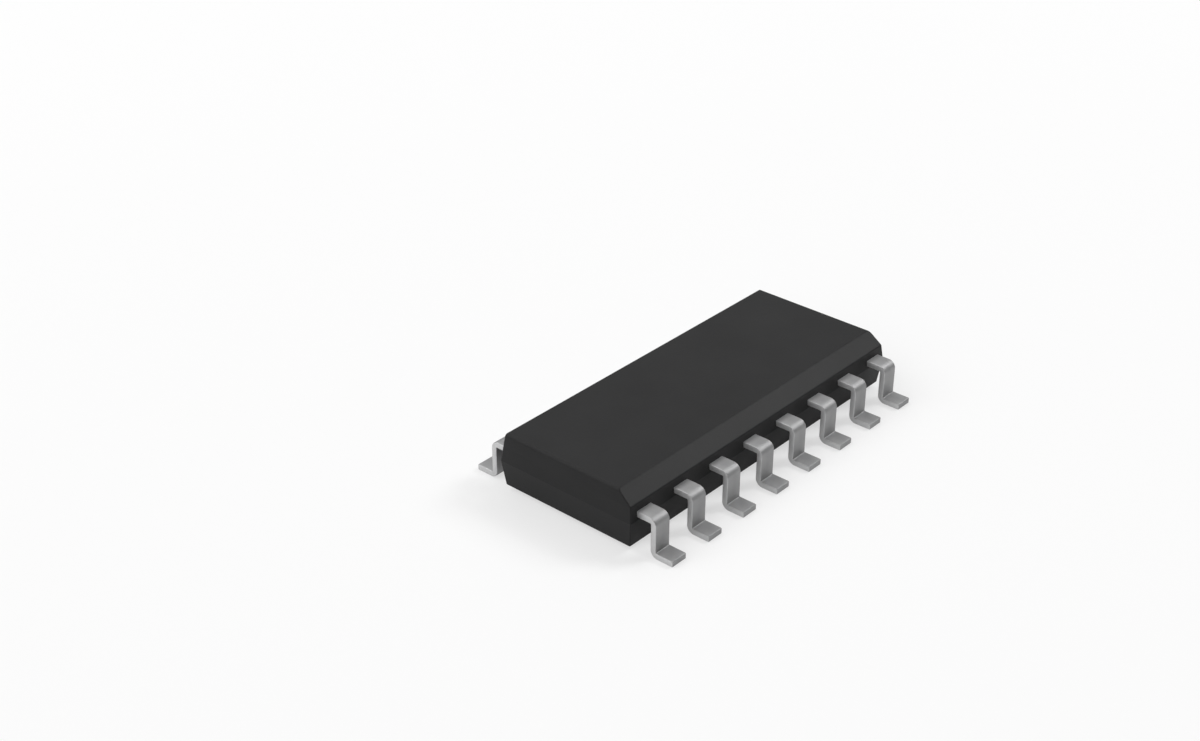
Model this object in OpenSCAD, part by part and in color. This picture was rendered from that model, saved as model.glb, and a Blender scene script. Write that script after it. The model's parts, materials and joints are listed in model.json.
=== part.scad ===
// Decoder chip in a moulded small-outline package with two rows of gull-wing leads.
// The origin is the centre of the seating plane under the feet, +X runs along the body and +Z is up.
// The long edge with the bevel faces -Y. Leads are counted from its -X end, anticlockwise from above.

/* [Moulded body] */
// Length of the body at its parting line
body_length = 9.85; // [9.8:0.05:12]
// Width of the body at its parting line
body_width = 3.95; // [3.8:0.05:4.1]
// Height of the body from its underside to its top
body_height = 1.39; // [1.3:0.01:1.6]
// Height of the parting line above the underside
parting_height = 0.68; // [0.62:0.01:0.75]
// Gap between the seating plane and the underside
standoff = 0.12; // [0.1:0.01:0.25]
// Lean of the walls away from the parting line, in degrees
draft_angle = 7; // [3:0.5:12]
// Width of the bevel along the edge of the first row of leads
bevel_width = 0.39; // [0.25:0.01:0.5]
// Depth of the bevel below the top
bevel_depth = 0.31; // [0.2:0.01:0.4]
// Radius along the edges of the top face
top_edge_radius = 0.12; // [0.03:0.01:0.14]
// Radius along the outer edge of the bevel
bevel_edge_radius = 0.06; // [0.03:0.01:0.1]
// Radius along the edges of the underside
lower_edge_radius = 0.04; // [0.02:0.01:0.1]

/* [Leads] */
// Number of leads in each of the two rows
leads_per_row = 8; // [6:1:8]
// Spacing of the leads along a row
lead_pitch = 1.27; // [1.2:0.01:1.35]
// Width of a lead outside the body
lead_width = 0.48; // [0.31:0.01:0.51]
// Thickness of the sheet that leads and paddle are stamped from
sheet_thickness = 0.15; // [0.13:0.01:0.22]
// Height of the leads' underside above the parting line
lead_rise = 0.07; // [0:0.01:0.1]
// Span from foot tip to foot tip across the two rows
lead_span = 5.95; // [5.85:0.05:6.2]
// Length of a foot from its tip to the inner face of the leg
foot_length = 0.63; // [0.5:0.01:0.7]
// Radius on the inside of the shoulder and heel bends
bend_radius = 0.05; // [0.04:0.01:0.16]

/* [Lead frame inside the body] */
// Length that a lead keeps its full width inside the body
anchor_length = 0.4; // [0.3:0.01:0.45]
// Width across the ears that lock a lead in the moulding
ear_width = 0.68; // [0.6:0.01:0.8]
// Length of the locking ears along the lead
ear_length = 0.14; // [0.1:0.01:0.2]
// Depth of moulding between the wall and the locking ears
ear_cover = 0.16; // [0.12:0.01:0.2]
// Width of the fingers that reach in to the paddle
finger_width = 0.24; // [0.2:0.01:0.28]
// Length of a fingertip that faces the paddle squarely
fingertip_length = 0.2; // [0.18:0.01:0.24]
// Spacing of the fingertips along the paddle's long edges
fingertip_pitch = 1; // [0.8:0.05:1.1]
// Gap between neighbouring pieces of the lead frame
frame_gap = 0.18; // [0.14:0.01:0.2]
// Length of the die paddle
paddle_length = 3.3; // [2.8:0.05:3.5]
// Width of the die paddle
paddle_width = 1.9; // [1.85:0.05:2]
// Depth of the paddle below the plane of the leads
paddle_downset = 0.25; // [0.19:0.01:0.3]
// Width of the tie bars that held the paddle
tie_bar_width = 0.22; // [0.16:0.01:0.26]
// Length of the slope between paddle and tie bar
tie_slope_length = 0.3; // [0.2:0.01:0.5]
// Depth of moulding over the end of a tie bar
tie_bar_cover = 0.15; // [0.1:0.01:0.3]

/* [Die and bond wires] */
// Length of the silicon die
die_length = 1.6; // [1.4:0.05:2]
// Width of the silicon die
die_width = 1.3; // [1.2:0.05:1.5]
// Thickness of the silicon die
die_thickness = 0.28; // [0.2:0.01:0.3]
// Thickness of the die attach layer
attach_thickness = 0.025; // [0.02:0.005:0.05]
// Width of the attach layer that shows round the die
attach_margin = 0.05; // [0.02:0.01:0.1]
// Spacing of the bond pads along each edge of the die
pad_pitch = 0.28; // [0.2:0.01:0.3]
// Distance of the bond pads from the edge of the die
pad_inset = 0.09; // [0.07:0.01:0.12]
// Diameter of the ball on a bond pad
ball_diameter = 0.08; // [0.06:0.005:0.1]
// Height of the ball on a bond pad
ball_height = 0.02; // [0.015:0.005:0.03]
// Diameter of a bond wire
wire_diameter = 0.03; // [0.02:0.005:0.04]
// Height of a wire's loop above the die
loop_height = 0.15; // [0.1:0.01:0.16]
// Length of wire that is pressed on to a fingertip
stitch_length = 0.08; // [0.06:0.01:0.1]

/* [Hidden] */
$fn = 48;
lead_count = 2 * leads_per_row;
lead_numbers = [1 : lead_count];

// Heights above the seating plane
underside_z = standoff;
parting_z = standoff + parting_height;
top_z = standoff + body_height;
lead_bottom_z = parting_z + lead_rise;
lead_top_z = lead_bottom_z + sheet_thickness;
paddle_bottom_z = lead_bottom_z - paddle_downset;
attach_bottom_z = paddle_bottom_z + sheet_thickness;
die_bottom_z = attach_bottom_z + attach_thickness;
die_top_z = die_bottom_z + die_thickness;

// Half sizes of the body, which its walls' draft takes in above and below the parting line
half_length = body_length / 2;
half_width = body_width / 2;
top_inset = (top_z - parting_z) * tan(draft_angle);
lower_inset = (parting_z - underside_z) * tan(draft_angle);
bevel_z = top_z - bevel_depth;
bevel_inset = (bevel_z - parting_z) * tan(draft_angle);

// Formed part of a lead, measured outwards from the middle of the chip
leg_inner_y = lead_span / 2 - foot_length;
leg_outer_y = leg_inner_y + sheet_thickness;
outer_bend_radius = bend_radius + sheet_thickness;
shoulder_end_y = leg_inner_y - bend_radius;
anchor_y = half_width - anchor_length;

// Fingertips: the two outer leads at each end of a row face a short edge of the paddle
tips_per_end = 2;
long_edge_tip_y = paddle_width / 2 + frame_gap;
short_edge_tip_x = paddle_length / 2 + frame_gap;
first_end_tip_y = tie_bar_width / 2 + frame_gap + finger_width / 2;
end_tip_pitch = finger_width + frame_gap;

// Flat strips that make up the rounding along one edge of the body
arc_steps = 8;

body_color = [0.17, 0.17, 0.18];
tin_color = [0.74, 0.74, 0.75];
copper_color = [0.72, 0.46, 0.32];
attach_color = [0.66, 0.67, 0.69];
silicon_color = [0.33, 0.36, 0.44];
gold_color = [0.9, 0.72, 0.32];

// Names of the leads and wires, with two digits so that they sort
function numbered(word, number) = str(word, number < 10 ? "0" : "", number);
function lead_name(number) = numbered("lead_", number);
function wire_name(number) = numbered("bond_wire_", number);

// Plane vectors, and the offset from a path's point to the side of a strip of half width 1
function unit(v) = v / norm(v);
function left_of(v) = [-v[1], v[0]];
function segment_normal(path, i) = left_of(unit(path[i + 1] - path[i]));
function mitre(a, b) = 2 * (a + b) / ((a + b) * (a + b));
function joint_normal(path, i) =
    i == 0 ? segment_normal(path, 0)
    : i == len(path) - 1 ? segment_normal(path, i - 1)
    : mitre(segment_normal(path, i - 1), segment_normal(path, i));

// Outline of a strip of constant width along a path
function strip(path, width) = concat(
    [for (i = [0 : len(path) - 1]) path[i] + joint_normal(path, i) * width / 2],
    [for (i = [len(path) - 1 : -1 : 0]) path[i] - joint_normal(path, i) * width / 2]
);

// A row is laid out on the +Y side, from its +X end, and the first row is turned to the other side
function row_index(number) = (number - 1) % leads_per_row;
function row_angle(number) = number <= leads_per_row ? 180 : 0;
function lead_x(number) = ((leads_per_row - 1) / 2 - row_index(number)) * lead_pitch;
function steps_from_end(number) = min(row_index(number), leads_per_row - 1 - row_index(number));
function faces_short_edge(number) = steps_from_end(number) < tips_per_end;
function long_edge_place(number) = (leads_per_row - 1) / 2 - row_index(number);

// Fingertip and the direction from it along its finger
function fingertip(number) =
    faces_short_edge(number)
    ? [sign(lead_x(number)) * short_edge_tip_x, first_end_tip_y + steps_from_end(number) * end_tip_pitch]
    : [long_edge_place(number) * fingertip_pitch, long_edge_tip_y];
function away_from_paddle(number) = faces_short_edge(number) ? [sign(lead_x(number)), 0] : [0, 1];
function fingertip_run(number) =
    fingertip_length * (faces_short_edge(number) ? tips_per_end - steps_from_end(number) : 1);
function finger_path(number) = [
    [lead_x(number), anchor_y + anchor_length / 2],
    [lead_x(number), anchor_y],
    fingertip(number) + away_from_paddle(number) * fingertip_run(number),
    fingertip(number)
];

// Ends of a bond wire in plan: the pad on the die, and the middle of the stitch on the fingertip
function bond_pad(number) =
    faces_short_edge(number)
    ? [sign(lead_x(number)) * (die_length / 2 - pad_inset), (steps_from_end(number) + 0.5) * pad_pitch]
    : [long_edge_place(number) * pad_pitch, die_width / 2 - pad_inset];
function stitch(number) = fingertip(number) + away_from_paddle(number) * fingertip_length / 2;

// Corner of a rounded outline: points are [x, y, radius], and a corner's arc starts and ends on its edges
function corner(points, i) = [points[i][0], points[i][1]];
function to_previous(points, i) = unit(corner(points, (i + len(points) - 1) % len(points)) - corner(points, i));
function to_next(points, i) = unit(corner(points, (i + 1) % len(points)) - corner(points, i));
function half_corner_cosine(points, i) = norm(to_previous(points, i) + to_next(points, i)) / 2;
function half_corner_sine(points, i) = sqrt(1 - pow(half_corner_cosine(points, i), 2));
function arc_setback(points, i) = points[i][2] * half_corner_cosine(points, i) / half_corner_sine(points, i);
function arc_start(points, i) = corner(points, i) + to_previous(points, i) * arc_setback(points, i);
function arc_end(points, i) = corner(points, i) + to_next(points, i) * arc_setback(points, i);
function arc_center(points, i) =
    corner(points, i)
    + unit(to_previous(points, i) + to_next(points, i)) * points[i][2] / half_corner_sine(points, i);
function turned(v, angle) = [v[0] * cos(angle) - v[1] * sin(angle), v[0] * sin(angle) + v[1] * cos(angle)];
function angle_between(a, b) = atan2(cross(a, b), a * b);
function rounded_corner(points, i) =
    let (
        center = arc_center(points, i),
        start = arc_start(points, i) - center,
        sweep = angle_between(start, arc_end(points, i) - center)
    )
    points[i][2] > 0
    ? [for (step = [0 : arc_steps]) center + turned(start, sweep * step / arc_steps)]
    : [corner(points, i)];

module rounded_outline(points) {
    polygon([for (i = [0 : len(points) - 1]) each rounded_corner(points, i)]);
}

// Turns an outline drawn across the chip, y then z, into a bar along the chip
module along_body(length) {
    rotate([90, 0, 90]) linear_extrude(height = length, center = true) children();
}

// Turns an outline drawn along the chip, x then z, into a bar across the chip
module across_body(width) {
    rotate([90, 0, 0]) linear_extrude(height = width, center = true) children();
}

module in_row(number) {
    rotate([0, 0, row_angle(number)]) children();
}

// Section across the body, with the bevel on the side of the first row
module body_section() {
    rounded_outline([
        [lower_inset - half_width, underside_z, lower_edge_radius],
        [half_width - lower_inset, underside_z, lower_edge_radius],
        [half_width, parting_z, 0],
        [half_width - top_inset, top_z, top_edge_radius],
        [bevel_inset + bevel_width - half_width, top_z, top_edge_radius],
        [bevel_inset - half_width, bevel_z, bevel_edge_radius],
        [-half_width, parting_z, 0]
    ]);
}

// Section along the body
module body_side() {
    rounded_outline([
        [lower_inset - half_length, underside_z, lower_edge_radius],
        [half_length - lower_inset, underside_z, lower_edge_radius],
        [half_length, parting_z, 0],
        [half_length - top_inset, top_z, top_edge_radius],
        [top_inset - half_length, top_z, top_edge_radius],
        [-half_length, parting_z, 0]
    ]);
}

// Outer form of the moulding, filled inside
module body_form() {
    intersection() {
        along_body(body_length) body_section();
        across_body(body_width) body_side();
    }
}

// Moulding, which fills every space between the pieces it holds
module mould_body() {
    color(body_color) difference() {
        body_form();
        die_paddle();
        die_attach();
        silicon_die();
        for (number = lead_numbers) lead(number);
        for (number = lead_numbers) bond_wire(number);
    }
}

// Quarter of a ring, for a bend in the sheet
module quarter_bend() {
    intersection() {
        difference() {
            circle(r = outer_bend_radius);
            circle(r = bend_radius);
        }
        square(2 * outer_bend_radius);
    }
}

// Side view of the formed strip: shoulder, bend, leg, heel and foot
module lead_profile() {
    translate([anchor_y, lead_bottom_z]) square([shoulder_end_y - anchor_y, sheet_thickness]);
    translate([shoulder_end_y, lead_bottom_z - bend_radius]) quarter_bend();
    translate([leg_inner_y, outer_bend_radius])
        square([sheet_thickness, lead_bottom_z - bend_radius - outer_bend_radius]);
    translate([leg_outer_y + bend_radius, outer_bend_radius]) rotate(180) quarter_bend();
    translate([leg_outer_y + bend_radius, 0])
        square([lead_span / 2 - leg_outer_y - bend_radius, sheet_thickness]);
}

// Plan of what a lead has inside the body beside its full-width strip: the ears and the finger
module lead_inner_plan(number) {
    translate([lead_x(number) - ear_width / 2, half_width - ear_cover - ear_length])
        square([ear_width, ear_length]);
    polygon(strip(finger_path(number), finger_width));
}

// One stamped and formed lead, from fingertip to foot
module lead(number) {
    color(tin_color) in_row(number) union() {
        translate([lead_x(number), 0, 0]) along_body(lead_width) lead_profile();
        translate([0, 0, lead_bottom_z])
            linear_extrude(height = sheet_thickness) lead_inner_plan(number);
    }
}

// Lower edge of the tie bars and paddle, seen from the side
function tie_bar_line() =
    let (slope_x = paddle_length / 2, level_x = slope_x + tie_slope_length, end_x = half_length - tie_bar_cover)
    [
        [-end_x, lead_bottom_z],
        [-level_x, lead_bottom_z],
        [-slope_x, paddle_bottom_z],
        [slope_x, paddle_bottom_z],
        [level_x, lead_bottom_z],
        [end_x, lead_bottom_z]
    ];

// Paddle that carries the die, with the two tie bars that step up to the plane of the leads
module die_paddle() {
    line = tie_bar_line();
    color(copper_color) union() {
        translate([-paddle_length / 2, -paddle_width / 2, paddle_bottom_z])
            cube([paddle_length, paddle_width, sheet_thickness]);
        across_body(tie_bar_width) polygon(concat(
            line,
            [for (i = [len(line) - 1 : -1 : 0]) line[i] + [0, sheet_thickness]]
        ));
    }
}

module die_attach() {
    length = die_length + 2 * attach_margin;
    width = die_width + 2 * attach_margin;
    color(attach_color) translate([-length / 2, -width / 2, attach_bottom_z])
        cube([length, width, attach_thickness]);
}

module silicon_die() {
    color(silicon_color) translate([-die_length / 2, -die_width / 2, die_bottom_z])
        cube([die_length, die_width, die_thickness]);
}

// Line of a wire in its own upright plane: up from the ball, level, down to the fingertip and along it
function wire_path(reach) =
    let (
        level_z = die_top_z + loop_height,
        stitch_z = lead_top_z + wire_diameter / 2,
        kink = 2 * wire_diameter
    )
    [
        [0, die_top_z + ball_height],
        [0, level_z - kink],
        [kink, level_z],
        [reach / 2, level_z],
        [reach - stitch_length / 2, stitch_z],
        [reach + stitch_length / 2, stitch_z]
    ];

// Tube with flat sides along a path in the XZ plane
wire_sides = 8;
function wire_ring(path, i) = [
    for (side = [0 : wire_sides - 1])
        let (
            turn = (side + 0.5) * 360 / wire_sides,
            radius = wire_diameter / 2 / cos(180 / wire_sides),
            along = path[i] + joint_normal(path, i) * radius * cos(turn)
        )
        [along[0], radius * sin(turn), along[1]]
];

module wire_tube(path) {
    last = len(path) - 1;
    points = [for (i = [0 : last]) each wire_ring(path, i)];
    sides = [
        for (i = [0 : last - 1], side = [0 : wire_sides - 1])
            let (next = (side + 1) % wire_sides, low = i * wire_sides, high = low + wire_sides)
            [low + side, low + next, high + next, high + side]
    ];
    first_cap = [for (side = [wire_sides - 1 : -1 : 0]) side];
    last_cap = [for (side = [0 : wire_sides - 1]) last * wire_sides + side];
    polyhedron(points = points, faces = concat([first_cap], sides, [last_cap]));
}

// One bond wire with the ball that holds it to its pad
module bond_wire(number) {
    pad = bond_pad(number);
    run = stitch(number) - pad;
    color(gold_color) in_row(number)
        translate([pad[0], pad[1], 0]) rotate([0, 0, atan2(run[1], run[0])]) union() {
            translate([0, 0, die_top_z]) cylinder(d = ball_diameter, h = ball_height, $fn = 12);
            wire_tube(wire_path(norm(run)));
        }
}

mould_body();
die_paddle();
die_attach();
silicon_die();
for (number = lead_numbers) {
    lead(number);
    bond_wire(number);
}
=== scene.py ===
"""Looks of the decoder chip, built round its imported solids.

The moulding and the sixteen leads are remade with fine bends and rounded edges, and stand for
their solids. The paddle, the attach layer, the die and the bond wires inside keep their solids
and get materials. Sizes are in millimetres, as in the source of the solids, and MM takes them to
the frame's metres.
"""
import json
import math

import bmesh
import bpy
import numpy as np
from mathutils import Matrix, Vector


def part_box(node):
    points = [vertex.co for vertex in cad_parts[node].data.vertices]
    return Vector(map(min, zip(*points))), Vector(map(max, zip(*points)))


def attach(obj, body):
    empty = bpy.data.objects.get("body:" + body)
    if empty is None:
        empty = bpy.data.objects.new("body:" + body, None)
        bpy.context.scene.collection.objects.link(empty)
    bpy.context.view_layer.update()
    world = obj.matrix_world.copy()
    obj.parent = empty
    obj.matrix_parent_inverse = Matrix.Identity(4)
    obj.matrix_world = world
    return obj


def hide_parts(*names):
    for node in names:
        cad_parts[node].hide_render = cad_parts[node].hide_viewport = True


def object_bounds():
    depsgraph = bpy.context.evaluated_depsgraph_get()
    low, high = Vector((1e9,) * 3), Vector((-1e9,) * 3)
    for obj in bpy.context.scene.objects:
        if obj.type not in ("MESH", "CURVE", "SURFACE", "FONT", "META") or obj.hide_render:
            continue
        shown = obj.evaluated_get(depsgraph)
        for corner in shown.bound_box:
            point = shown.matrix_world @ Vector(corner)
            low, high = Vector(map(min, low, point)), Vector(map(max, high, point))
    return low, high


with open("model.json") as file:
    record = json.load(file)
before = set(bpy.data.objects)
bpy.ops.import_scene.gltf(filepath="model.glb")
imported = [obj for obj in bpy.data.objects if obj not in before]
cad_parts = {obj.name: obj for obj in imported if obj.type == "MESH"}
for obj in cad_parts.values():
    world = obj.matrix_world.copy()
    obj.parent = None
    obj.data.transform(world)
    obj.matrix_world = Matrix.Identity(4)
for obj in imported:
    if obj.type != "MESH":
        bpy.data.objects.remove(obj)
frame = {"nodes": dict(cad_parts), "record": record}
CAD_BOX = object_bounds()
MM = 0.001

# Moulded body: box from the frame, section from the solids' source, top edges from the photo
BODY_LOW, BODY_HIGH = (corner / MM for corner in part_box("mould_body"))
HALF_LENGTH, HALF_WIDTH = BODY_HIGH.x, BODY_HIGH.y
UNDERSIDE_Z, TOP_Z = BODY_LOW.z, BODY_HIGH.z
PARTING_HEIGHT = 0.68
PARTING_Z = UNDERSIDE_Z + PARTING_HEIGHT
DRAFT_DEGREES = 7
DRAFT = math.tan(math.radians(DRAFT_DEGREES))
BEVEL_WIDTH, BEVEL_DEPTH = 0.39, 0.31
TOP_EDGE_RADIUS, BACK_EDGE_RADIUS = 0.09, 0.03
BEVEL_EDGE_RADIUS = 0.06
LOWER_EDGE_RADIUS = 0.04
PARTING_RADIUS = 0.015
UPRIGHT_RADIUS = 0.025
EDGE_STEPS = 10
LEVEL_DIGITS = 6

# Leads outside the body
ROW_LENGTH = 8
LEAD_PITCH = 1.27
LEAD_WIDTH, SHEET_THICKNESS = 0.48, 0.15
LEAD_RISE = 0.07
LEAD_BOTTOM_Z = PARTING_Z + LEAD_RISE
FOOT_LENGTH = 0.63
TIP_Y = CAD_BOX[1].y / MM
OUTER_BEND_RADIUS, INNER_BEND_RADIUS = 0.2, 0.02
BEND_STEPS = 14
LEAD_EDGE_RADIUS = 0.02
LEAST_EDGE_RADIUS = LEAD_EDGE_RADIUS / 4
LEAD_EDGE_STEPS = 4

# Leads inside the body
ANCHOR_LENGTH = 0.4
EAR_WIDTH, EAR_LENGTH, EAR_COVER = 0.68, 0.14, 0.16
FINGER_WIDTH, FINGERTIP_LENGTH, FINGERTIP_PITCH = 0.24, 0.2, 1.0
FRAME_GAP = 0.18
TIPS_PER_END = 2
TIE_BAR_WIDTH = 0.22
PADDLE_HALF_LENGTH, PADDLE_HALF_WIDTH = 1.65, 0.95
STAMPED_STEP = 0.01

# Materials: bands of a noise texture's values that colours span, and the size of the die's blocks
NOISE_BAND = (0.3, 0.7)
FLAKE_BAND = (0.35, 0.65)
CIRCUIT_BLOCK_SIZE = 0.4

# Floor: its size, its place under the feet, and how much of it is plain white
FLOOR_HALF_SIZE = 600
FLOOR_DROP = 0.002
FLOOR_WHITE_SEEN, FLOOR_WHITE_MIRRORED = 0.6, 0.25

# Lamps: name, way from the chip, size and level
LAMP_DISTANCE = 300
LAMPS = [
    ("key", (-0.4, 0.58, 0.71), 200, 0.39),
    ("fill", (0.2, 0.57, 0.79), 140, 0.16),
    ("left", (-0.85, -0.1, 0.4), 200, 0.2),
    ("low", (-0.75, 0.57, 0.35), 200, 0.13),
    ("back", (0.65, 0.57, 0.5), 200, 0.09),
    ("right", (0.65, -0.35, 0.67), 100, 0.41),
    ("top", (0.55, 0.05, 0.83), 100, 0.12),
]
WORLD_LEVEL = 0.1

# Camera at the photo's place, found by fitting the chip's edges; its aim is in mid-picture
CAMERA_AIM = (-7.0722, -2.9835, 5.9859)
CAMERA_DISTANCE = 34.492
CAMERA_YAW, CAMERA_PITCH = math.radians(41.449), math.radians(29.811)
FOCAL_PIXELS, PHOTO_WIDTH_PIXELS = 1791.54, 1200
SENSOR_WIDTH = 36
CLIP_NEAR, CLIP_FAR = 1, 10000


def unit(vector):
    return vector / np.linalg.norm(vector)


def rounded_line(points, steps):
    """Points of an open line with rounded corners: each inner point given is (u, v, radius)."""
    line = [np.array(points[0][:2])]
    for before, here, after in zip(points, points[1:], points[2:]):
        corner, radius = np.array(here[:2]), here[2]
        back, on = unit(np.array(before[:2]) - corner), unit(np.array(after[:2]) - corner)
        half = math.acos(np.clip(back @ on, -1, 1)) / 2
        centre = corner + unit(back + on) * radius / math.sin(half)
        start = corner + back * radius / math.tan(half) - centre
        sweep = math.copysign(math.pi - 2 * half, back[1] * on[0] - back[0] * on[1])
        for angle in np.linspace(0, sweep, steps + 1):
            cos, sin = math.cos(angle), math.sin(angle)
            line.append(centre + np.array([[cos, -sin], [sin, cos]]) @ start)
    return line + [np.array(points[-1][:2])]


def loft(name, rings):
    """Closed mesh object through rings that all have the same number of points."""
    mesh = bmesh.new()
    loops = [[mesh.verts.new([x * MM for x in point]) for point in ring] for ring in rings]
    for low, high in zip(loops, loops[1:]):
        for i, j in zip(range(len(low)), list(range(1, len(low))) + [0]):
            mesh.faces.new((low[i], low[j], high[j], high[i]))
    mesh.faces.new(reversed(loops[0]))
    mesh.faces.new(loops[-1])
    bmesh.ops.recalc_face_normals(mesh, faces=mesh.faces)
    for face in mesh.faces:
        face.smooth = True
    data = bpy.data.meshes.new(name)
    mesh.to_mesh(data)
    mesh.free()
    made = bpy.data.objects.new(name, data)
    bpy.context.scene.collection.objects.link(made)
    made.modifiers.new("flat faces stay flat", "WEIGHTED_NORMAL").keep_sharp = True
    return made


def wall_line(half_size, upper_part):
    """Section of one side of the body, from its underside to its top: (reach, z) points."""
    lower = half_size - (PARTING_Z - UNDERSIDE_Z) * DRAFT
    lower_part = [
        (0, UNDERSIDE_Z, 0),
        (lower, UNDERSIDE_Z, LOWER_EDGE_RADIUS),
        (half_size, PARTING_Z, PARTING_RADIUS),
    ]
    return rounded_line(lower_part + upper_part + [(0, TOP_Z, 0)], EDGE_STEPS)[1:-1]


def plain_wall(half_size, top_radius):
    return wall_line(half_size, [(half_size - (TOP_Z - PARTING_Z) * DRAFT, TOP_Z, top_radius)])


def bevelled_wall(half_size):
    bevel_z = TOP_Z - BEVEL_DEPTH
    edge = half_size - (bevel_z - PARTING_Z) * DRAFT
    return wall_line(half_size, [
        (edge, bevel_z, BEVEL_EDGE_RADIUS),
        (edge - BEVEL_WIDTH, TOP_Z, TOP_EDGE_RADIUS),
    ])


def make_moulding():
    """Moulded body as level rings, each as wide as the walls are there, with rounded corners."""
    walls = [
        plain_wall(HALF_LENGTH, TOP_EDGE_RADIUS),
        plain_wall(HALF_WIDTH, BACK_EDGE_RADIUS),
        bevelled_wall(HALF_WIDTH),
    ]
    levels = sorted({round(float(z), LEVEL_DIGITS) for wall in walls for _, z in wall})
    reach = [np.interp(levels, [z for _, z in wall], [d for d, _ in wall]) for wall in walls]
    rings = []
    for z, end, back, front in zip(levels, *reach):
        corners = [(end, back), (-end, back), (-end, -front), (end, -front)]
        ring = []
        for quarter, (x, y) in enumerate(corners):
            cx = x - math.copysign(UPRIGHT_RADIUS, x)
            cy = y - math.copysign(UPRIGHT_RADIUS, y)
            for step in range(EDGE_STEPS + 1):
                angle = math.pi / 2 * (quarter + step / EDGE_STEPS)
                ring.append((
                    cx + UPRIGHT_RADIUS * math.cos(angle),
                    cy + UPRIGHT_RADIUS * math.sin(angle),
                    z,
                ))
        rings.append(ring)
    return loft("moulding", rings)


def strip_ring(point, across, through, width, inset=0.0):
    """Section of the sheet at a point of its path: rounded edges, taken in all round by inset."""
    half_width, half_thickness = width / 2 - inset, SHEET_THICKNESS / 2 - inset
    radius = max(LEAD_EDGE_RADIUS - inset, LEAST_EDGE_RADIUS)
    ring = []
    for quarter, (sx, sz) in enumerate([(1, 1), (-1, 1), (-1, -1), (1, -1)]):
        for step in range(LEAD_EDGE_STEPS + 1):
            angle = math.pi / 2 * (quarter + step / LEAD_EDGE_STEPS)
            u = sx * (half_width - radius) + radius * math.cos(angle)
            w = sz * (half_thickness - radius) + radius * math.sin(angle)
            ring.append(point + across * u + through * w)
    return ring


def end_rings(point, outwards, across, through, width):
    """Rounded end of a strip, from full section to the end face."""
    rings = []
    for step in range(LEAD_EDGE_STEPS + 1):
        angle = math.pi / 2 * step / LEAD_EDGE_STEPS
        back = LEAD_EDGE_RADIUS * (1 - math.sin(angle))
        inset = LEAD_EDGE_RADIUS * (1 - math.cos(angle))
        rings.append(strip_ring(point - outwards * back, across, through, width, inset))
    return rings


def fingertip(x):
    """Place of a finger's tip, the way from it along the finger, and its straight end's length."""
    place = x / LEAD_PITCH
    from_end = round((ROW_LENGTH - 1) / 2 - abs(place))
    if from_end < TIPS_PER_END:
        side = math.copysign(1, x)
        first = TIE_BAR_WIDTH / 2 + FRAME_GAP + FINGER_WIDTH / 2
        tip = np.array([
            side * (PADDLE_HALF_LENGTH + FRAME_GAP),
            first + from_end * (FINGER_WIDTH + FRAME_GAP),
        ])
        return tip, np.array([side, 0.0]), FINGERTIP_LENGTH * (TIPS_PER_END - from_end)
    tip = np.array([place * FINGERTIP_PITCH, PADDLE_HALF_WIDTH + FRAME_GAP])
    return tip, np.array([0.0, 1.0]), FINGERTIP_LENGTH


def finger_rings(x, middle_z, anchor_y):
    """Rings from the fingertip to the place where the strip gets the lead's full width."""
    tip, away, run = fingertip(x)
    path = [
        tip,
        tip + away * run,
        np.array([x, anchor_y]),
        np.array([x, anchor_y + STAMPED_STEP]),
    ]
    ways = [unit(b - a) for a, b in zip(path, path[1:])]
    normals = [np.array([way[1], -way[0]]) for way in ways]
    up = np.array([0.0, 0.0, 1.0])
    first, outwards = np.array([*path[0], middle_z]), np.array([*-away, 0.0])
    rings = end_rings(first, outwards, np.array([*normals[0], 0.0]), up, FINGER_WIDTH)[::-1]
    for point, a, b in zip(path[1:3], normals, normals[1:]):
        mitre = 2 * (a + b) / ((a + b) @ (a + b))
        across = np.array([*mitre, 0.0])
        rings.append(strip_ring(np.array([*point, middle_z]), across, up, FINGER_WIDTH))
    return rings


def formed_side(height, shoulder_radius, heel_radius):
    """One side of a lead's bent strip, that height over the sheet's underside: (y, z) points."""
    leg_y = TIP_Y - FOOT_LENGTH + height
    corners = [
        (HALF_WIDTH, LEAD_BOTTOM_Z + height),
        (leg_y, LEAD_BOTTOM_Z + height, shoulder_radius),
        (leg_y, height, heel_radius),
        (TIP_Y, height),
    ]
    return rounded_line(corners, BEND_STEPS)


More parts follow.
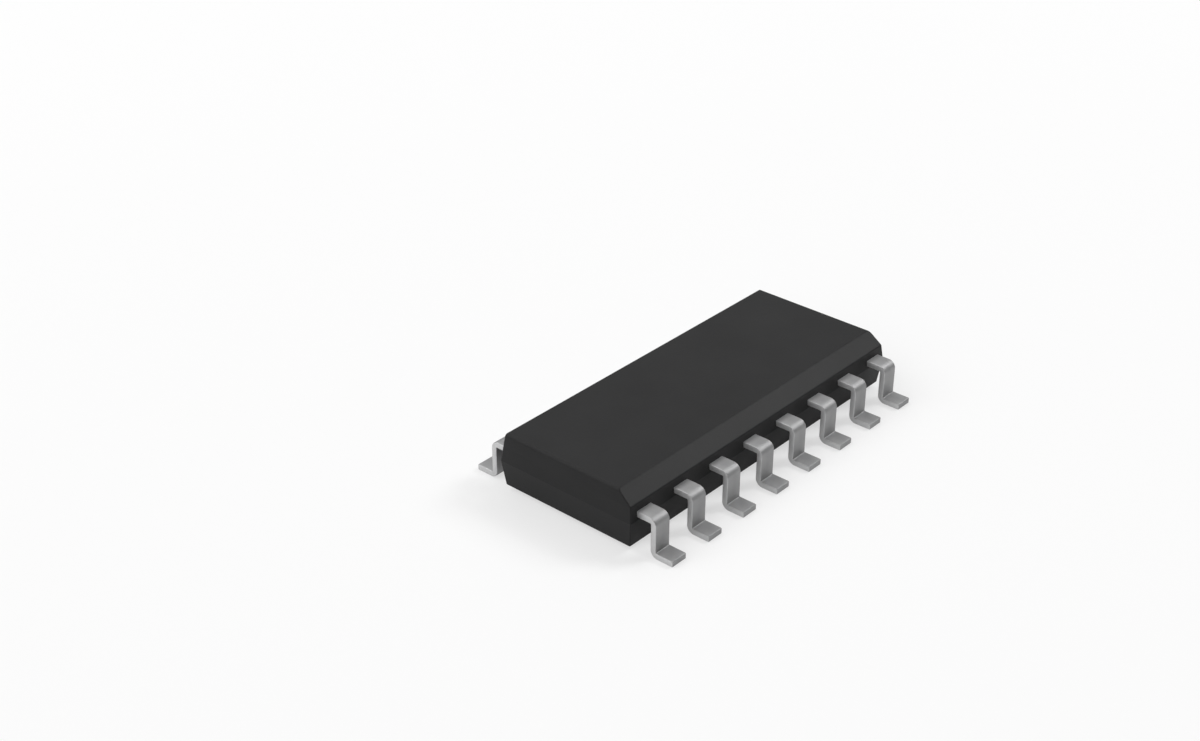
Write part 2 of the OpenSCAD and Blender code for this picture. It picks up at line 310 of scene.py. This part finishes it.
def make_lead(number, foot):
    """One lead as one strip from fingertip to foot, laid out at +Y and turned to its own row."""
    turn = math.copysign(1, foot.y)
    x = turn * foot.x
    middle_z = LEAD_BOTTOM_Z + SHEET_THICKNESS / 2
    anchor_y = HALF_WIDTH - ANCHOR_LENGTH
    ear_end = HALF_WIDTH - EAR_COVER
    across, up = np.array([1.0, 0.0, 0.0]), np.array([0.0, 0.0, 1.0])
    rings = finger_rings(x, middle_z, anchor_y)
    for y, width in [
        (anchor_y + STAMPED_STEP, LEAD_WIDTH),
        (ear_end - EAR_LENGTH - STAMPED_STEP, LEAD_WIDTH),
        (ear_end - EAR_LENGTH, EAR_WIDTH),
        (ear_end, EAR_WIDTH),
        (ear_end + STAMPED_STEP, LEAD_WIDTH),
    ]:
        rings.append(strip_ring(np.array([x, y, middle_z]), across, up, width))
    under = formed_side(0, INNER_BEND_RADIUS, OUTER_BEND_RADIUS)
    over = formed_side(SHEET_THICKNESS, OUTER_BEND_RADIUS, INNER_BEND_RADIUS)
    for low, high in zip(under[:-1], over[:-1]):
        through = np.array([0.0, *(high - low)]) / SHEET_THICKNESS
        rings.append(strip_ring(np.array([x, *(low + high) / 2]), across, through, LEAD_WIDTH))
    tip = np.array([x, TIP_Y, SHEET_THICKNESS / 2])
    rings += end_rings(tip, np.array([0.0, 1.0, 0.0]), across, up, LEAD_WIDTH)
    rings = [[(turn * p[0], turn * p[1], p[2]) for p in ring] for ring in rings]
    return loft(f"formed_lead_{number:02d}", rings)


def node_material(name):
    """New material, its nodes, its links and its shader."""
    material = bpy.data.materials.new(name)
    material.use_nodes = True
    nodes, links = material.node_tree.nodes, material.node_tree.links
    return material, nodes, links, nodes["Principled BSDF"]


def noise(nodes, links, size, detail, roughness=0.5):
    """Noise texture in the object's own place, with features of that size."""
    place = nodes.new("ShaderNodeTexCoord")
    texture = nodes.new("ShaderNodeTexNoise")
    texture.inputs["Scale"].default_value = 1 / (size * MM)
    texture.inputs["Detail"].default_value = detail
    texture.inputs["Roughness"].default_value = roughness
    links.new(place.outputs["Object"], texture.inputs["Vector"])
    return texture.outputs["Fac"]


def ramp(nodes, links, factor, first, last, band=NOISE_BAND):
    """Colour that goes from first to last as the factor crosses the band."""
    node = nodes.new("ShaderNodeValToRGB")
    for element, position, colour in zip(node.color_ramp.elements, band, (first, last)):
        element.position = position
        element.color = (*colour, 1)
    links.new(factor, node.inputs["Fac"])
    return node.outputs["Color"]


def spread(nodes, links, factor, low, high):
    """The factor from 0 to 1 taken to the range from low to high."""
    node = nodes.new("ShaderNodeMapRange")
    node.inputs["To Min"].default_value, node.inputs["To Max"].default_value = low, high
    links.new(factor, node.inputs["Value"])
    return node.outputs["Result"]


def blend(nodes, links, factor, first, second):
    """First colour where the factor is 0, second where it is 1."""
    node = nodes.new("ShaderNodeMix")
    node.data_type = "RGBA"
    links.new(factor, node.inputs["Factor"])
    links.new(first, node.inputs["A"])
    links.new(second, node.inputs["B"])
    return node.outputs["Result"]


def sideways(nodes, links):
    """How far the surface faces along the rows, which run along X: 1 on a lead's sides."""
    place = nodes.new("ShaderNodeTexCoord")
    parts = nodes.new("ShaderNodeSeparateXYZ")
    size = nodes.new("ShaderNodeMath")
    size.operation = "ABSOLUTE"
    links.new(place.outputs["Normal"], parts.inputs["Vector"])
    links.new(parts.outputs["X"], size.inputs[0])
    return size.outputs["Value"]


def bump(nodes, links, height, depth):
    """Bump of that depth."""
    node = nodes.new("ShaderNodeBump")
    node.inputs["Distance"].default_value = depth * MM
    links.new(height, node.inputs["Height"])
    return node.outputs["Normal"]


def mould_compound():
    """Black filled epoxy with the fine matte grain of an eroded mould."""
    dark, pale = (0.019, 0.019, 0.0194), (0.023, 0.023, 0.0234)
    material, nodes, links, shader = node_material("mould_compound")
    flow = noise(nodes, links, size=1.6, detail=3)
    grain = noise(nodes, links, size=0.05, detail=2, roughness=0.6)
    links.new(ramp(nodes, links, flow, dark, pale), shader.inputs["Base Color"])
    links.new(spread(nodes, links, grain, low=0.4, high=0.48), shader.inputs["Roughness"])
    links.new(bump(nodes, links, grain, depth=0.0015), shader.inputs["Normal"])
    shader.inputs["Specular IOR Level"].default_value = 0.13
    return material


def matte_tin():
    """Matte tin plating with soft patches and a very fine grain, with painted light on the leads'
    sides, which are coloured paler to stand for light falling on them.
    """
    rolled_dark, rolled_pale = (0.33, 0.33, 0.335), (0.37, 0.37, 0.37)
    # painted light: paler tin colours for the leads' sides, standing in for light falling on them
    painted_lit_side_dark, painted_lit_side_pale = (0.62, 0.62, 0.625), (0.68, 0.68, 0.68)
    material, nodes, links, shader = node_material("matte_tin")
    patches = noise(nodes, links, size=0.35, detail=3)
    grain = noise(nodes, links, size=0.025, detail=2)
    rolled = ramp(nodes, links, patches, rolled_dark, rolled_pale)
    painted_lit_sides = ramp(nodes, links, patches, painted_lit_side_dark, painted_lit_side_pale)
    # painted light: faces along X, the leads' sides, take the paler painted-light colour
    colour = blend(nodes, links, sideways(nodes, links), rolled, painted_lit_sides)
    links.new(colour, shader.inputs["Base Color"])
    links.new(spread(nodes, links, patches, low=0.54, high=0.62), shader.inputs["Roughness"])
    links.new(bump(nodes, links, grain, depth=0.0006), shader.inputs["Normal"])
    shader.inputs["Metallic"].default_value = 0.95
    return material


def copper_alloy():
    """Rolled copper sheet of the lead frame, a little uneven."""
    dark, pale = (0.62, 0.33, 0.2), (0.74, 0.43, 0.29)
    material, nodes, links, shader = node_material("copper_alloy")
    patches = noise(nodes, links, size=0.12, detail=4, roughness=0.65)
    links.new(ramp(nodes, links, patches, dark, pale), shader.inputs["Base Color"])
    links.new(spread(nodes, links, patches, low=0.28, high=0.42), shader.inputs["Roughness"])
    links.new(bump(nodes, links, patches, depth=0.001), shader.inputs["Normal"])
    shader.inputs["Metallic"].default_value = 1.0
    return material


def silver_epoxy():
    """Silver-filled paste, with flakes."""
    dark, pale = (0.42, 0.42, 0.44), (0.62, 0.62, 0.64)
    material, nodes, links, shader = node_material("silver_epoxy")
    flakes = noise(nodes, links, size=0.03, detail=3)
    links.new(ramp(nodes, links, flakes, dark, pale, FLAKE_BAND), shader.inputs["Base Color"])
    links.new(spread(nodes, links, flakes, low=0.45, high=0.7), shader.inputs["Roughness"])
    links.new(bump(nodes, links, flakes, depth=0.003), shader.inputs["Normal"])
    shader.inputs["Metallic"].default_value = 0.5
    return material


def silicon():
    """Polished die with blocks of circuit on it."""
    material, nodes, links, shader = node_material("silicon")
    place = nodes.new("ShaderNodeTexCoord")
    blocks = nodes.new("ShaderNodeTexBrick")
    blocks.inputs["Scale"].default_value = 1 / (CIRCUIT_BLOCK_SIZE * MM)
    blocks.inputs["Color1"].default_value = (0.1, 0.12, 0.2, 1)
    blocks.inputs["Color2"].default_value = (0.2, 0.17, 0.26, 1)
    blocks.inputs["Mortar"].default_value = (0.36, 0.34, 0.3, 1)
    links.new(place.outputs["Object"], blocks.inputs["Vector"])
    links.new(blocks.outputs["Color"], shader.inputs["Base Color"])
    wear = noise(nodes, links, size=0.2, detail=2)
    links.new(spread(nodes, links, wear, low=0.08, high=0.2), shader.inputs["Roughness"])
    shader.inputs["Metallic"].default_value = 0.4
    return material


def gold():
    """Drawn gold wire."""
    dark, pale = (0.83, 0.6, 0.2), (0.92, 0.71, 0.3)
    material, nodes, links, shader = node_material("gold")
    drawn = noise(nodes, links, size=0.02, detail=2)
    links.new(ramp(nodes, links, drawn, dark, pale), shader.inputs["Base Color"])
    links.new(spread(nodes, links, drawn, low=0.16, high=0.28), shader.inputs["Roughness"])
    shader.inputs["Metallic"].default_value = 1.0
    return material


def dress(piece, material):
    piece.data.materials.clear()
    piece.data.materials.append(material)


def whiten(nodes, links, shader, seen_share, mirrored_share):
    """Mixes plain white into a surface: one share for the camera, one for gloss and glass."""
    path = nodes.new("ShaderNodeLightPath")
    share = spread(nodes, links, path.outputs["Is Camera Ray"], 0, seen_share)
    for kind in ("Is Glossy Ray", "Is Transmission Ray"):
        larger = nodes.new("ShaderNodeMath")
        larger.operation = "MAXIMUM"
        links.new(share, larger.inputs[0])
        links.new(spread(nodes, links, path.outputs[kind], 0, mirrored_share), larger.inputs[1])
        share = larger.outputs["Value"]
    white = nodes.new("ShaderNodeEmission")
    mix = nodes.new("ShaderNodeMixShader")
    links.new(share, mix.inputs["Fac"])
    links.new(shader.outputs["BSDF"], mix.inputs[1])
    links.new(white.outputs["Emission"], mix.inputs[2])
    links.new(mix.outputs["Shader"], nodes["Material Output"].inputs["Surface"])


def make_floor():
    """Plain pale floor just under the feet."""
    half, z = FLOOR_HALF_SIZE * MM, -FLOOR_DROP * MM
    dark, pale = (0.95, 0.95, 0.95), (0.96, 0.96, 0.96)
    corners = [(-half, -half, z), (half, -half, z), (half, half, z), (-half, half, z)]
    data = bpy.data.meshes.new("floor")
    data.from_pydata(corners, [], [(0, 1, 2, 3)])
    floor = bpy.data.objects.new("floor", data)
    bpy.context.scene.collection.objects.link(floor)
    material, nodes, links, shader = node_material("pale_floor")
    patches = noise(nodes, links, size=40, detail=2)
    links.new(ramp(nodes, links, patches, dark, pale), shader.inputs["Base Color"])
    shader.inputs["Roughness"].default_value = 0.9
    shader.inputs["Specular IOR Level"].default_value = 0.0
    whiten(nodes, links, shader, FLOOR_WHITE_SEEN, FLOOR_WHITE_MIRRORED)
    dress(floor, material)


def make_light(name, direction, size, level):
    """Square soft light that faces the chip, and lifts a white surface facing it by level."""
    distance = LAMP_DISTANCE * MM
    data = bpy.data.lights.new(name, "AREA")
    data.shape, data.size = "SQUARE", size * MM
    data.energy = level * math.pi ** 2 * distance ** 2
    lamp = bpy.data.objects.new(name, data)
    lamp.location = Vector(direction).normalized() * distance
    lamp.rotation_euler = (-lamp.location).to_track_quat("-Z", "Y").to_euler()
    bpy.context.scene.collection.objects.link(lamp)


def make_world():
    """Even light from all round."""
    world = bpy.data.worlds.new("studio")
    world.use_nodes = True
    background = world.node_tree.nodes["Background"]
    background.inputs["Color"].default_value = (1, 1, 1, 1)
    background.inputs["Strength"].default_value = WORLD_LEVEL
    bpy.context.scene.world = world


def make_camera():
    """Camera at the photo's place."""
    level = math.cos(CAMERA_PITCH)
    way = Vector((
        math.cos(CAMERA_YAW) * level,
        math.sin(CAMERA_YAW) * level,
        -math.sin(CAMERA_PITCH),
    ))
    data = bpy.data.cameras.new("camera")
    data.sensor_fit, data.sensor_width = "HORIZONTAL", SENSOR_WIDTH
    data.lens = SENSOR_WIDTH * FOCAL_PIXELS / PHOTO_WIDTH_PIXELS
    data.clip_start, data.clip_end = CLIP_NEAR * MM, CLIP_FAR * MM
    camera = bpy.data.objects.new("camera", data)
    camera.location = Vector(CAMERA_AIM) * MM - way * (CAMERA_DISTANCE * MM)
    camera.rotation_euler = way.to_track_quat("-Z", "Y").to_euler()
    bpy.context.scene.collection.objects.link(camera)
    bpy.context.scene.camera = camera


moulding = make_moulding()
dress(moulding, mould_compound())
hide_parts("mould_body")
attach(moulding, "root")

tin = matte_tin()
feet = {m["name"]: Vector(m["pos_m"]) / MM for m in frame["record"]["mounts"]}
for number in range(1, 2 * ROW_LENGTH + 1):
    lead = make_lead(number, feet[f"solder_foot_{number:02d}"])
    dress(lead, tin)
    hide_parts(f"lead_{number:02d}")
    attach(lead, "root")

inside = {"die_paddle": copper_alloy(), "die_attach": silver_epoxy(), "silicon_die": silicon()}
wire_gold = gold()
for name, node in frame["nodes"].items():
    if name.startswith("bond_wire"):
        dress(node, wire_gold)
    elif name in inside:
        dress(node, inside[name])

make_floor()
make_world()
for lamp_values in LAMPS:
    make_light(*lamp_values)
make_camera()
bpy.context.scene.view_settings.view_transform = "Standard"
